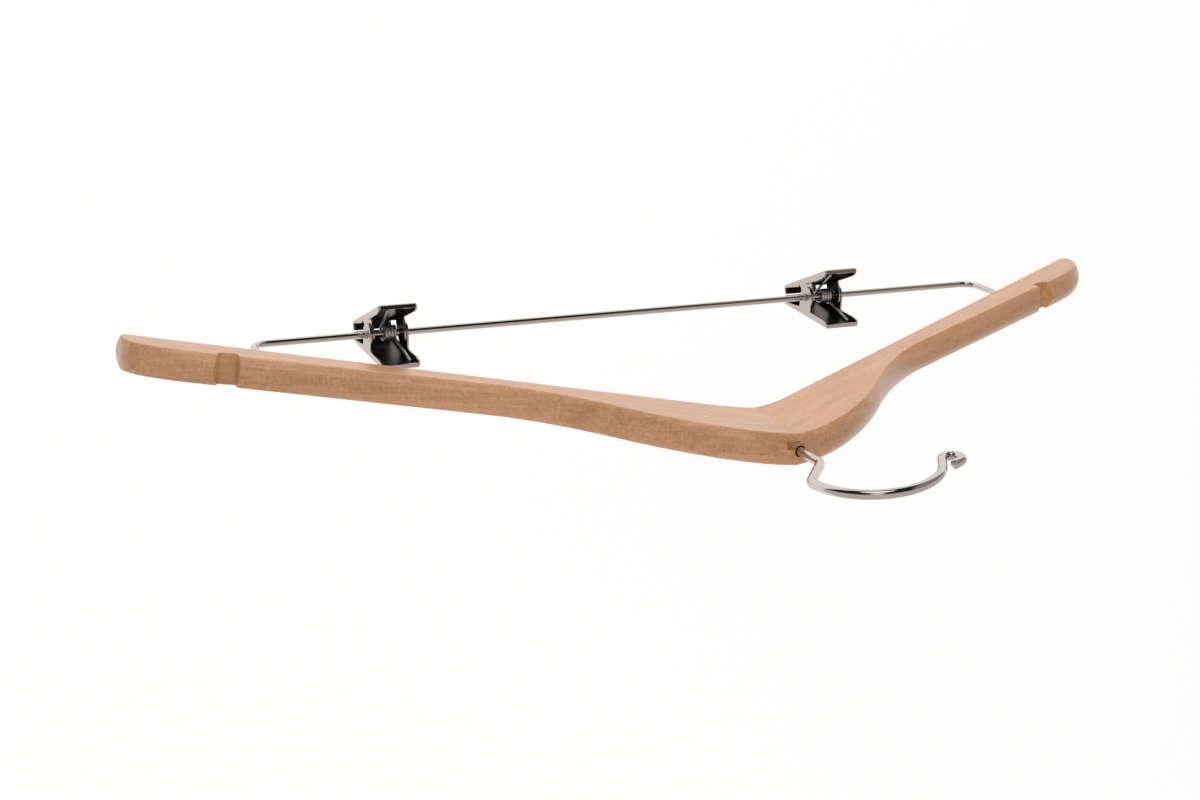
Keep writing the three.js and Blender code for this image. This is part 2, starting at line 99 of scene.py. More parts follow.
# Clips: a jaw is drawn about the pivot, with Y out through its plate and Z towards its handle
CLIP_TILT = radians(10)
CLIP_WIDTH = 16.5
SHEET = 0.8
PLATE_ANGLE = radians(13.3)
PIVOT_DEPTH = 8.9
JAW_LENGTH = 18.6
HANDLE_LENGTH = 20.2
EAR_RADIUS = 4.8
FLANGE_DEPTH = 3.2
TIP_FLANGE_DEPTH = 1.5
HANDLE_LIP = 2.1
HANDLE_CORNER = 1.4
HANDLE_CURVE = 5
JOGGLE_FROM = 6.45
JOGGLE_TO = 5.45
JOGGLE_BEND = 0.35
SHEET_BEND = 1.1
TIP_CORNER = 1.3
GRIP_DEPTH = (FIT / 2 + JAW_LENGTH * sin(PLATE_ANGLE)) / cos(PLATE_ANGLE)
CUT_EDGE_EASE = 0.12
EMBOSS_RADIUS = 3
RIDGE_RADIUS = 0.45
RIDGE_HEIGHT = 0.22

# Springs
SPRING_WIRE = 1.1
COIL_RADIUS = 2.8
COIL_PITCH = 1.32
COIL_TURNS = 4
SPRING_REACH = 15.6
SPRING_SHIFT = -1.2
SPRING_END_EASE = 0.25

# Wood: eased edges, the finger joint, and the way that the grain runs along each arm
WOOD_EDGE_EASE = 0.25
SHORTEST_EDGE = 0.05
FLAT_WITHIN = radians(0.6)
GLUE_LINE = 0.05
TONGUE_LENGTH = 5.5
TONGUE_THICKNESS = 2.2
TONGUE_OFFSET = 2.3
GRAIN_SLOPE = radians(24.5)

# Beech's figure: how long, deep and wide one mark of each kind is, along, through and across
# the board. Real fibres are hundredths of a millimetre wide and real dashes about 0.3 mm, too
# fine to show, so both are drawn as coarse as they need to show.
FIGURE = {
    "patches": (120, 40, 25),
    "bands": (90, 9, 4),
    "fibres": (26, 1.1, 0.8),
    "dashes": (3.4, 2.4, 0.7),
    "rays": (0.75, 2.8, 0.9),
}
BEECH_DARK = "#9C6D45"
BEECH_PALE = "#BE8F68"
BEECH_PATCH = "#B57F58"
BEECH_DASH = "#8A5F3B"
BEECH_RAY = "#D0AC90"
BEECH_CUT_END = "#8A5733"

# Fineness
HOOK_SIDES = 28
BAR_SIDES = 24
SPRING_SIDES = 14
RIDGE_SIDES = 10
BORE_SIDES = 48
STEPS_PER_TURN = 64
FEWEST_STEPS = 3
COIL_STEPS_PER_TURN = 28
EAR_STEPS = 16
CURVE_STEPS = 8
BEND_SEGMENTS = 5
JOGGLE_SEGMENTS = 2
EASE_SEGMENTS = 2
WIRE_END_SEGMENTS = 3
SMOOTH_ANGLE = radians(32)


def linear(hex_colour):
    """An sRGB hex colour as the linear RGBA that a shader takes."""
    channels = [int(hex_colour[i:i + 2], 16) / 255 for i in (1, 3, 5)]
    curved = [c / 12.92 if c <= 0.04045 else ((c + 0.055) / 1.055) ** 2.4 for c in channels]
    return (*curved, 1)


def node(tree, kind, inputs=None, **settings):
    """Adds a node with its settings, and sets or links its inputs."""
    made = tree.nodes.new(kind)
    for name, value in settings.items():
        setattr(made, name, value)
    for key, value in (inputs or {}).items():
        if isinstance(value, bpy.types.NodeSocket):
            tree.links.new(value, made.inputs[key])
        else:
            made.inputs[key].default_value = value
    return made


def new_material(name):
    """A node material that has no nodes yet."""
    made = bpy.data.materials.new(name)
    made.use_nodes = True
    made.node_tree.nodes.clear()
    return made, made.node_tree


def lacquered_beech(name, side):
    """Beech, sawn and sanded, under sprayed clear satin lacquer.

    The eye sees long faint fibres along the arm, short dark dashes, pale ray flecks, a few
    warmer patches, a darker cut end on the tongue, and a soft even sheen.
    """
    made, tree = new_material(name)
    place = node(tree, "ShaderNodeTexCoord").outputs["Object"]
    along = node(
        tree, "ShaderNodeMapping",
        {"Vector": place, "Rotation": (0, -side * GRAIN_SLOPE, 0)},
    ).outputs["Vector"]
    figure = {}
    for mark, size in FIGURE.items():
        scale = [1 / (length * MM) for length in size]
        figure[mark] = node(
            tree, "ShaderNodeMapping", {"Vector": along, "Scale": scale},
        ).outputs["Vector"]

    bands = node(
        tree, "ShaderNodeTexNoise",
        {"Vector": figure["bands"], "Scale": 1, "Detail": 3, "Roughness": 0.5, "Distortion": 0.4},
    ).outputs["Fac"]
    fibres = node(
        tree, "ShaderNodeTexNoise",
        {"Vector": figure["fibres"], "Scale": 1, "Detail": 4, "Roughness": 0.7},
    ).outputs["Fac"]
    tone = node(tree, "ShaderNodeMix", {0: 0.62, 2: bands, 3: fibres}, data_type="FLOAT")
    ramp = node(tree, "ShaderNodeValToRGB", {"Fac": tone.outputs[0]})
    for stop, position, colour in zip(
        ramp.color_ramp.elements, (0.34, 0.66), (BEECH_DARK, BEECH_PALE),
    ):
        stop.position = position
        stop.color = linear(colour)
    patches = node(
        tree, "ShaderNodeTexNoise",
        {"Vector": figure["patches"], "Scale": 1, "Detail": 1, "Roughness": 0.4},
    ).outputs["Fac"]
    patch_share = node(
        tree, "ShaderNodeMapRange",
        {"Value": patches, "From Min": 0.42, "From Max": 0.62, "To Min": 0, "To Max": 0.35},
    ).outputs["Result"]
    dashes = node(
        tree, "ShaderNodeTexVoronoi",
        {"Vector": figure["dashes"], "Scale": 1, "Randomness": 1}, feature="F1",
    ).outputs["Distance"]
    dash_share = node(
        tree, "ShaderNodeMapRange",
        {"Value": dashes, "From Min": 0.12, "From Max": 0.34, "To Min": 0.38, "To Max": 0},
    ).outputs["Result"]
    rays = node(
        tree, "ShaderNodeTexNoise",
        {"Vector": figure["rays"], "Scale": 1, "Detail": 1, "Roughness": 0.4},
    ).outputs["Fac"]
    ray_share = node(
        tree, "ShaderNodeMapRange",
        {"Value": rays, "From Min": 0.52, "From Max": 0.75, "To Min": 0, "To Max": 0.26},
    ).outputs["Result"]
    end_grain = node(tree, "ShaderNodeAttribute", attribute_name="end_grain").outputs["Fac"]
    coloured = ramp.outputs["Color"]
    for share, colour in (
        (patch_share, BEECH_PATCH), (dash_share, BEECH_DASH),
        (ray_share, BEECH_RAY), (end_grain, BEECH_CUT_END),
    ):
        coloured = node(
            tree, "ShaderNodeMix",
            {0: share, 6: coloured, 7: linear(colour)}, data_type="RGBA",
        ).outputs[2]

    roughness = node(
        tree, "ShaderNodeMapRange",
        {"Value": fibres, "To Min": 0.3, "To Max": 0.46},
    ).outputs["Result"]
    bump = node(
        tree, "ShaderNodeBump",
        {"Height": fibres, "Strength": 0.12, "Distance": 0.0002},
    ).outputs["Normal"]
    shader = node(
        tree, "ShaderNodeBsdfPrincipled",
        {
            "Base Color": coloured, "Roughness": roughness, "IOR": 1.5, "Normal": bump,
            "Coat Weight": 0.8, "Coat Roughness": 0.2,
        },
    )
    node(tree, "ShaderNodeOutputMaterial", {"Surface": shader.outputs[0]})
    return made


def plated_metal(name, colour, roughness, blotch, inside_finish=None):
    """Bright plate over steel: a mirror, dulled by handling in blotches, and never quite flat.

    Where a colour and roughness are given for the inside, the sheet's inner faces take them,
    so that the inside is drawn near black and rougher than the outside.
    """
    made, tree = new_material(name)
    place = node(tree, "ShaderNodeTexCoord").outputs["Object"]
    patches = node(
        tree, "ShaderNodeTexNoise",
        {"Vector": place, "Scale": 1 / (blotch * MM), "Detail": 3, "Roughness": 0.6},
    ).outputs["Fac"]
    brightest, dullest = roughness
    gloss = node(
        tree, "ShaderNodeMapRange",
        {
            "Value": patches, "From Min": 0.3, "From Max": 0.7,
            "To Min": brightest, "To Max": dullest,
        },
    ).outputs["Result"]
    bump = node(
        tree, "ShaderNodeBump",
        {"Height": patches, "Strength": 0.06, "Distance": 0.0001},
    ).outputs["Normal"]
    shader = node(
        tree, "ShaderNodeBsdfPrincipled",
        {"Base Color": linear(colour), "Metallic": 1, "Roughness": gloss, "Normal": bump},
    )
    # The sheet's inner faces are drawn in a near-black colour and a rougher finish than the outside
    if inside_finish:
        steel, dull = inside_finish
        inside = node(tree, "ShaderNodeAttribute", attribute_name="inside").outputs["Fac"]
        mixed = node(
            tree, "ShaderNodeMix",
            {0: inside, 6: linear(colour), 7: linear(steel)}, data_type="RGBA",
        ).outputs[2]
        dulled = node(
            tree, "ShaderNodeMix", {0: inside, 2: gloss, 3: dull}, data_type="FLOAT",
        ).outputs[0]
        tree.links.new(mixed, shader.inputs["Base Color"])
        tree.links.new(dulled, shader.inputs["Roughness"])
    node(tree, "ShaderNodeOutputMaterial", {"Surface": shader.outputs[0]})
    return made


BEECH_RIGHT = lacquered_beech("lacquered_beech_right", 1)
BEECH_LEFT = lacquered_beech("lacquered_beech_left", -1)
# Drawn steel wire, polished and chromed: a clean neutral mirror with crisp light and dark lines
CHROME_WIRE = plated_metal(
    "chromed_steel_wire", "#DCDBDC", roughness=(0.05, 0.12), blotch=3,
)
# Pressed steel sheet, nickel plated: a softer, slightly warm mirror, drawn nearly black on its
# inner faces
NICKEL_SHEET = plated_metal(
    "nickel_plated_sheet", "#CEC8C3", roughness=(0.08, 0.16), blotch=5, inside_finish=("#4A4643", 0.3),
)
# Coiled spring wire, zinc plated: bluish and satin, with broad dull highlights
SPRING_STEEL = plated_metal(
    "zinc_plated_spring_wire", "#E2EAF2", roughness=(0.32, 0.44), blotch=8,
)


def shade_by_angle(bm):
    """Smooth faces, with a crisp line left where the surface turns sharply."""
    for face in bm.faces:
        face.smooth = True
    for edge in bm.edges:
        edge.smooth = len(edge.link_faces) == 2 and edge.calc_face_angle() < SMOOTH_ANGLE


def piece(name, bm, place, material):
    """Ends a drawing: puts it in its place in metres and makes it an object at the origin."""
    bmesh.ops.transform(bm, matrix=place, verts=bm.verts)
    shade_by_angle(bm)
    mesh = bpy.data.meshes.new(name)
    bm.to_mesh(mesh)
    bm.free()
    made = bpy.data.objects.new(name, mesh)
    bpy.context.scene.collection.objects.link(made)
    mesh.materials.append(material)
    return made


def settle(made):
    """Applies the modifiers to the mesh."""
    graph = bpy.context.evaluated_depsgraph_get()
    mesh = bpy.data.meshes.new_from_object(made.evaluated_get(graph))
    made.modifiers.clear()
    old = made.data
    made.data = mesh
    bpy.data.meshes.remove(old)
    mesh.name = made.name


def keep_flat(made):
    """Flat faces are shaded flat right up to their eased edges."""
    made.modifiers.new("flat_faces", "WEIGHTED_NORMAL").keep_sharp = True
    settle(made)


def stand_for(made, cad_node, body):
    """The piece is shown in place of its CAD node and moves with the same body."""
    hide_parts(cad_node)
    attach(made, body)


class Wire:
    """A wire drawn from one end: its ring of edges is carried along straight runs and bends."""

    def __init__(self, start, heading, diameter, sides):
        self.bm = bmesh.new()
        self.heading = Vector(heading).normalized()
        self.at = Vector(start)
        turn = self.heading.to_track_quat("Z", "Y").to_matrix().to_4x4()
        bmesh.ops.create_circle(
            self.bm, segments=sides, radius=diameter / 2,
            matrix=Matrix.Translation(self.at) @ turn,
        )
        self.ring = list(self.bm.edges)
        self.close_end()

    def close_end(self):
        """Caps the wire where its ring is."""
        bmesh.ops.contextual_create(self.bm, geom=self.ring)

    def corners(self):
        """The ring's own corners."""
        return list({corner for edge in self.ring for corner in edge.verts})

    def run(self, length):
        """Goes straight on."""
        made = bmesh.ops.extrude_edge_only(self.bm, edges=self.ring)["geom"]
        corners = {item for item in made if isinstance(item, bmesh.types.BMVert)}
        self.ring = [
            item for item in made
            if isinstance(item, bmesh.types.BMEdge) and set(item.verts) <= corners
        ]
        bmesh.ops.translate(self.bm, verts=list(corners), vec=self.heading * length)
        self.at += self.heading * length
        return self

    def neck(self, share):
        """Narrows or widens the wire at once, to a share of its width."""
        self.run(0)
        about = Matrix.Translation(-self.at)
        bmesh.ops.scale(self.bm, verts=self.corners(), vec=(share, share, share), space=about)
        return self

    def bend(self, centre, axis, turn, steps, advance=(0, 0, 0)):
        """Turns about an axis, and moves on along it at each step where it coils."""
        made = bmesh.ops.spin(
            self.bm, geom=self.ring + self.corners(), cent=centre, axis=axis,
            angle=turn, steps=steps, dvec=advance, use_duplicate=False,
        )
        self.ring = [
            item for item in made["geom_last"] if isinstance(item, bmesh.types.BMEdge)
        ]
        spun = Matrix.Rotation(turn, 3, Vector(axis))
        self.at = Vector(centre) + spun @ (self.at - Vector(centre)) + Vector(advance) * steps
        self.heading = spun @ self.heading
        return self

    def turn_left(self, radius, turn):
        """A bend in the XZ plane, to the left of the heading when positive."""
        left = Vector((0, -1, 0)).cross(self.heading)
        centre = self.at + left * radius * (1 if turn > 0 else -1)
        steps = max(FEWEST_STEPS, round(STEPS_PER_TURN * abs(turn) / (2 * pi)))
        return self.bend(centre, (0, -1, 0), turn, steps)

    def finished(self, ease):
        """The closed wire with both rims eased."""
        self.close_end()
        rims = [
            edge for edge in self.bm.edges if any(len(face.verts) > 4 for face in edge.link_faces)
        ]
        bmesh.ops.bevel(
            self.bm, geom=rims, offset=ease, offset_type="OFFSET", segments=WIRE_END_SEGMENTS,
            profile=0.5, affect="EDGES", material=-1, clamp_overlap=True,
        )
        bmesh.ops.recalc_face_normals(self.bm, faces=self.bm.faces)
        return self.bm


def make_hook():
    """The hook from its hidden head up: shank, lean, loop and curled tip."""
    axis_x, axis_y, _ = JOINTS["hook_swivel"]["pos_m"]
    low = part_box("hook")[0][2] / MM
    lean_height = 2 * HOOK_NECK_BEND * sin(HOOK_LEAN) + HOOK_LEAN_RUN * cos(HOOK_LEAN)
    loop_height = lean_height + (HOOK_NECK_BEND - HOOK_RADIUS) * sin(HOOK_START)
    shank_top = HOOK_WIRE / 2 - HOOK_RADIUS - loop_height
    wire = Wire((0, 0, low), (0, 0, 1), HEAD_DIAMETER, HOOK_SIDES)
    wire.run(HEAD_THICKNESS).neck(HOOK_WIRE / HEAD_DIAMETER)
    wire.run(shank_top - low - HEAD_THICKNESS)
    wire.turn_left(HOOK_NECK_BEND, -HOOK_LEAN).run(HOOK_LEAN_RUN)
    wire.turn_left(HOOK_NECK_BEND, HOOK_LEAN + HOOK_START)
    wire.turn_left(HOOK_RADIUS, HOOK_END - HOOK_START).run(HOOK_TAIL)
    wire.turn_left(HOOK_CURL_RADIUS, -HOOK_CURL_TURN).run(HOOK_CURL_RETURN)
    turned = Matrix.Translation((axis_x, axis_y, 0)) @ Matrix.Rotation(HOOK_TURN, 4, "Z")
    place = turned @ Matrix.Scale(MM, 4)
    made = piece("hook_wire", wire.finished(WIRE_END_EASE), place, CHROME_WIRE)
    stand_for(made, "hook", "hook")


def make_bar():
    """The trouser bar: down out of the left arm, along, and up into the right arm."""
    low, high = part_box("trouser_bar")
    half = BAR_WIRE / 2
    left, right = low[0] / MM + half, high[0] / MM - half
    leg = (high[2] - low[2]) / MM - half - BAR_BEND
    top = (left, (low[1] + high[1]) / 2 / MM, high[2] / MM)
    wire = Wire(top, (0, 0, -1), BAR_WIRE, BAR_SIDES)
    wire.run(leg).turn_left(BAR_BEND, pi / 2)
    wire.run(right - left - 2 * BAR_BEND).turn_left(BAR_BEND, pi / 2).run(leg)
    bm = wire.finished(WIRE_END_EASE)
    made = piece("trouser_bar_wire", bm, Matrix.Scale(MM, 4), CHROME_WIRE)
    stand_for(made, "trouser_bar", "frame")


def make_washer():
    """The washer: its section turned about the hook's shank, with eased rims."""
    low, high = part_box("hook_washer")
    middle = Vector(((low[0] + high[0]) / 2, (low[1] + high[1]) / 2, 0))
    outer = (high[0] - low[0]) / 2 / MM
    inner = HOOK_WIRE / 2 + FIT
    bm = bmesh.new()
    corners = [(inner, low[2]), (outer, low[2]), (outer, high[2]), (inner, high[2])]
    section = [bm.verts.new((x, 0, z / MM)) for x, z in corners]
    profile = bm.faces.new(section)
    bmesh.ops.spin(
        bm, geom=list(profile.edges) + section, cent=(0, 0, 0), axis=(0, 0, 1),
        angle=2 * pi, steps=STEPS_PER_TURN, use_merge=True, use_duplicate=False,
    )
    bmesh.ops.delete(bm, geom=[profile], context="FACES_ONLY")
    bmesh.ops.remove_doubles(bm, verts=bm.verts, dist=WELD)
    bmesh.ops.recalc_face_normals(bm, faces=bm.faces)
    rims = [edge for edge in bm.edges if edge.calc_face_angle() > SMOOTH_ANGLE]
    bmesh.ops.bevel(
        bm, geom=rims, offset=CUT_EDGE_EASE, offset_type="OFFSET", segments=EASE_SEGMENTS,
        profile=0.5, affect="EDGES", material=-1,
    )
    place = Matrix.Translation(middle) @ Matrix.Scale(MM, 4)
    made = piece("hook_washer_ring", bm, place, CHROME_WIRE)
    stand_for(made, "hook_washer", "hook")


def in_joint(place):
    """Whether a point, taken from the tongue's middle, is on the seam or in the finger joint."""
    along_tongue = abs(place.x) < TONGUE_LENGTH + FIT
    across_tongue = abs(place.y) < TONGUE_THICKNESS / 2 + 2 * FIT
    return along_tongue and across_tongue or abs(place.x) < FIT


def make_arm(cad_node, material):
    """The arm's own solid, welded, with its joint closed and its crisp edges eased."""
    bm = bmesh.new()
    bm.from_mesh(frame["nodes"][cad_node].data)
    bmesh.ops.scale(bm, verts=bm.verts, vec=(1 / MM, 1 / MM, 1 / MM))
    bmesh.ops.remove_doubles(bm, verts=bm.verts, dist=WELD)
    bmesh.ops.dissolve_limit(bm, angle_limit=FLAT_WITHIN, verts=bm.verts, edges=bm.edges)
    bmesh.ops.dissolve_degenerate(bm, edges=bm.edges, dist=SHORTEST_EDGE)
    seam, middle, _ = Vector(JOINTS["hook_swivel"]["pos_m"]) / MM
    centre = Matrix.Translation((-seam, TONGUE_OFFSET - middle, 0))
    at_seam = [corner for corner in bm.verts if abs(corner.co.x - seam) < FIT]
    bmesh.ops.scale(bm, verts=at_seam, vec=(GLUE_LINE / FIT, 1, 1), space=centre)
    has_tongue = cad_node == "left_arm"
    if has_tongue:
        tongue = [corner for corner in bm.verts if corner.co.x > seam + FIT]
        longer = (TONGUE_LENGTH - GLUE_LINE) / (TONGUE_LENGTH - FIT)
        thicker = (TONGUE_THICKNESS + 2 * (FIT - GLUE_LINE)) / TONGUE_THICKNESS
        bmesh.ops.scale(bm, verts=tongue, vec=(longer, thicker, 1), space=centre)
    crisp = [
        edge for edge in bm.edges
        if edge.is_manifold and edge.calc_face_angle() > SMOOTH_ANGLE
        and not all(in_joint(centre @ corner.co) for corner in edge.verts)
    ]
    bmesh.ops.bevel(
        bm, geom=crisp, offset=WOOD_EDGE_EASE, offset_type="OFFSET", segments=EASE_SEGMENTS,
        profile=0.5, affect="EDGES", material=-1, clamp_overlap=False,
    )
    made = piece(cad_node + "_board", bm, Matrix.Scale(MM, 4), material)
    keep_flat(made)
    shade = made.data.attributes.new("end_grain", "FLOAT", "POINT")
    tongue_from = (seam + FIT) * MM
    shade.data.foreach_set("value", [
        float(has_tongue and corner.co.x > tongue_from) for corner in made.data.vertices
    ])
    stand_for(made, cad_node, "frame")


def ear_corners():
    """The round end of an ear, from its handle side to its jaw side."""
    turns = [pi / 2 + pi * step / EAR_STEPS for step in range(EAR_STEPS + 1)]
    return [(EAR_RADIUS * cos(turn), EAR_RADIUS * sin(turn)) for turn in turns]


def jaw_outline(front):
    """Corners of a jaw's side in Y and Z: its flange, and its ear where that is in its plane."""
    inner = PIVOT_DEPTH - FLANGE_DEPTH
    start = Vector((PIVOT_DEPTH - HANDLE_LIP, HANDLE_LENGTH - HANDLE_CORNER))
    pull = Vector((inner, HANDLE_LENGTH - HANDLE_CORNER))
    end = Vector((inner, HANDLE_LENGTH - HANDLE_CURVE))
    corners = [
        (PIVOT_DEPTH, -JAW_LENGTH), (PIVOT_DEPTH, HANDLE_LENGTH),
        (PIVOT_DEPTH - HANDLE_LIP, HANDLE_LENGTH),
    ]
    for step in range(CURVE_STEPS + 1):
        t = step / CURVE_STEPS
        corners.append(start * (1 - t) ** 2 + pull * 2 * t * (1 - t) + end * t ** 2)
    corners.append((inner, EAR_RADIUS))
    if front:
        corners += [(JOGGLE_FROM, EAR_RADIUS), (JOGGLE_FROM, -EAR_RADIUS)]
    else:
        corners += ear_corners()
    corners.append((inner, -EAR_RADIUS))
    corners.append((PIVOT_DEPTH - TIP_FLANGE_DEPTH, TIP_CORNER - JAW_LENGTH))
    corners.append((GRIP_DEPTH, TIP_CORNER - JAW_LENGTH))
    corners.append((GRIP_DEPTH, -JAW_LENGTH))
    return corners


def fold(bm, edges, radius, segments):
    """Rounds the bends of a sheet."""
    bmesh.ops.bevel(
        bm, geom=edges, offset=radius, offset_type="OFFSET", segments=segments,
        profile=0.5, affect="EDGES", material=-1, clamp_overlap=True,
    )


def set_in_ears(bm, sides):
    """Steps the front jaw's ears inwards by a sheet, so that they turn inside the rear jaw's."""
    bends = []
    for side in sides:
        inset = side[0].co.x * (1 - (SHEET + FIT) / (CLIP_WIDTH / 2))
        joggle = Vector((side[0].co.x, JOGGLE_FROM, EAR_RADIUS))
        upper = min(side, key=lambda corner: (corner.co - joggle).length)
        lower = side[side.index(upper) + 1]
        upper_in, lower_in = (
            bm.verts.new((inset, JOGGLE_TO, z)) for z in (EAR_RADIUS, -EAR_RADIUS)
        )
        bm.faces.new((upper, upper_in, lower_in, lower))
        ear = [bm.verts.new((inset, y, z)) for y, z in ear_corners()]
        bm.faces.new((upper_in, *ear, lower_in))
        bends += [bm.edges.get((upper, lower)), bm.edges.get((upper_in, lower_in))]
    return bends


def jaw_sheet(front):
    """The outside of a jaw as one bent sheet without thickness."""
    bm = bmesh.new()
    half = CLIP_WIDTH / 2
    sides = []
    for x in (-half, half):
        side = [bm.verts.new((x, y, z)) for y, z in jaw_outline(front)]
        bm.faces.new(side)
        sides.append(side)
    left, right = sides
    plate = bm.faces.new((left[0], right[0], right[1], left[1]))
    bm.faces.new((left[1], right[1], right[2], left[2]))
    bm.faces.new((left[-1], right[-1], right[0], left[0]))
    bends = [edge for edge in bm.edges if edge.is_manifold]
    steps = set_in_ears(bm, sides) if front else []
    bmesh.ops.recalc_face_normals(bm, faces=bm.faces)
    if plate.normal.y < 0:
        bmesh.ops.reverse_faces(bm, faces=bm.faces)
    fold(bm, bends, SHEET_BEND, BEND_SEGMENTS)
    fold(bm, [edge for edge in steps if edge.is_valid], JOGGLE_BEND, JOGGLE_SEGMENTS)
    return bm


def thicken(made):
    """Gives the sheet its thickness inwards, with its inner faces in a second slot."""
    thick = made.modifiers.new("sheet", "SOLIDIFY")
    thick.thickness = SHEET * MM
    thick.offset = -1
    thick.use_even_offset = True
    thick.use_quality_normals = True
    thick.material_offset = 1
    made.data.materials.append(NICKEL_SHEET)
    settle(made)


def bore_through(made, pivot):
    """Cuts the round hole for the bar through both ears."""
    bm = bmesh.new()
    bmesh.ops.create_cone(
        bm, cap_ends=True, segments=BORE_SIDES, radius1=BAR_WIRE / 2 + FIT,
        radius2=BAR_WIRE / 2 + FIT, depth=2 * CLIP_WIDTH, matrix=Matrix.Rotation(pi / 2, 4, "Y"),
    )
    cutter = piece("bore", bm, Matrix.Translation(pivot) @ Matrix.Scale(MM, 4), NICKEL_SHEET)
    cut = made.modifiers.new("bore", "BOOLEAN")
    cut.operation = "DIFFERENCE"
    cut.solver = "EXACT"
    cut.object = cutter
    settle(made)
    bpy.data.objects.remove(cutter)


def ease_cut_edges(made):
    """Takes the sharpness off the sheet's cut edges."""
    ease = made.modifiers.new("cut_edges", "BEVEL")
    ease.width = CUT_EDGE_EASE * MM
    ease.segments = EASE_SEGMENTS
    ease.limit_method = "ANGLE"
    ease.angle_limit = SMOOTH_ANGLE
    ease.harden_normals = False
    settle(made)


def emboss_ears(bm, place):
    """Raises a round ridge on the outside of each ear, about the bar's hole."""
    for side in (-1, 1):
        outside = side * CLIP_WIDTH / 2
        at_ridge = Matrix.Translation((outside, 0, EMBOSS_RADIUS))
        ridge = bmesh.ops.create_circle(
            bm, segments=RIDGE_SIDES, radius=RIDGE_RADIUS,
            matrix=at_ridge @ Matrix.Rotation(pi / 2, 4, "X"),
        )["verts"]
        bmesh.ops.scale(
            bm, verts=ridge, vec=(RIDGE_HEIGHT / RIDGE_RADIUS, 1, 1),
            space=Matrix.Translation((-outside, 0, 0)),
        )
        rim = list({edge for corner in ridge for edge in corner.link_edges})
        before = set(bm.verts) - set(ridge)
        bmesh.ops.spin(
            bm, geom=ridge + rim, cent=(0, 0, 0), axis=(1, 0, 0), angle=2 * pi,
            steps=BORE_SIDES, use_merge=True, use_duplicate=False,
        )
        made = [corner for corner in bm.verts if corner not in before]
        faces = list({face for corner in made for face in corner.link_faces})
        bmesh.ops.recalc_face_normals(bm, faces=faces)
        bmesh.ops.transform(bm, matrix=place, verts=made)


def make_jaw(clip, which):
    """A jaw: bent sheet, thickened, bored for the bar and eased, with its inside marked."""
    pivot = Vector(JOINTS[f"{clip}_swing"]["pos_m"])
    front = which == "front"
    faced = Matrix.Rotation(pi if front else 0, 4, "Z") @ Matrix.Rotation(-PLATE_ANGLE, 4, "X")
    tilted = Matrix.Translation(pivot) @ Matrix.Rotation(CLIP_TILT, 4, "X")
    place = tilted @ faced @ Matrix.Scale(MM, 4)
    made = piece(f"{clip}_{which}_jaw_sheet", jaw_sheet(front), place, NICKEL_SHEET)
    thicken(made)
    bore_through(made, pivot)
    ease_cut_edges(made)
    bm = bmesh.new()
    bm.from_mesh(made.data)
    inside = bm.faces.layers.float.new("inside")
    for face in bm.faces:
        face[inside] = face.material_index
        face.material_index = 0
    if not front:
        emboss_ears(bm, place)
    shade_by_angle(bm)
    bm.to_mesh(made.data)
    bm.free()
    made.data.materials.pop(index=1)
    keep_flat(made)
    body = clip.replace("clip", which)
    stand_for(made, f"{clip}_{which}_jaw", body)


def make_spring(clip):
    """A torsion spring: a leg under the front handle, turns round the bar, a leg under the rear."""
    pivot = Vector(JOINTS[f"{clip}_swing"]["pos_m"])
    reach = Vector((PIVOT_DEPTH - SHEET - FIT - SPRING_WIRE / 2, SPRING_REACH))
    seat_y = reach.x * cos(PLATE_ANGLE) + reach.y * sin(PLATE_ANGLE)
    seat_z = reach.y * cos(PLATE_ANGLE) - reach.x * sin(PLATE_ANGLE)
    leg = sqrt(seat_y ** 2 + seat_z ** 2 - COIL_RADIUS ** 2)
    lead = atan2(leg, COIL_RADIUS)
    seat_angle = atan2(seat_z, seat_y)
    start = pi - seat_angle + lead
    turn = seat_angle - lead + 2 * pi - start + 2 * pi * COIL_TURNS
    half = COIL_PITCH * turn / (4 * pi)
    drift = leg * COIL_PITCH / (2 * pi * COIL_RADIUS)
    coil_start = Vector((half, COIL_RADIUS * cos(start), COIL_RADIUS * sin(start)))
    front_end = Vector((half + drift, -seat_y, seat_z))
    steps = round(COIL_STEPS_PER_TURN * turn / (2 * pi))
    wire = Wire(front_end, coil_start - front_end, SPRING_WIRE, SPRING_SIDES)
    wire.run((coil_start - front_end).length)
    wire.bend((0, 0, 0), (1, 0, 0), turn, steps, (-2 * half / steps, 0, 0))
    wire.run(hypot(leg, drift))
    middle = pivot + Vector((SPRING_SHIFT * MM, 0, 0))
    tilted = Matrix.Translation(middle) @ Matrix.Rotation(CLIP_TILT, 4, "X")
    place = tilted @ Matrix.Scale(MM, 4)
    made = piece(f"{clip}_spring_wire", wire.finished(SPRING_END_EASE), place, SPRING_STEEL)
    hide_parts(f"{clip}_spring")
    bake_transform(made)


make_arm("right_arm", BEECH_RIGHT)
make_arm("left_arm", BEECH_LEFT)
make_hook()
make_washer()
make_bar()
for clip_name in ("right_clip", "left_clip"):
    make_jaw(clip_name, "rear")
    make_jaw(clip_name, "front")
    make_spring(clip_name)


# Camera, as fitted to the photograph: its place in millimetres and its three axes
CAMERA_PLACE = (361.45, -222.3, 519.39)
CAMERA_RIGHT = (-0.910431, -0.030154, 0.412557)
CAMERA_UP = (-0.096098, -0.954637, -0.281833)
CAMERA_BACK = (0.402349, -0.296233, 0.866241)
LENS = 56.385
SENSOR = 36
NEAREST_SEEN = 0.01

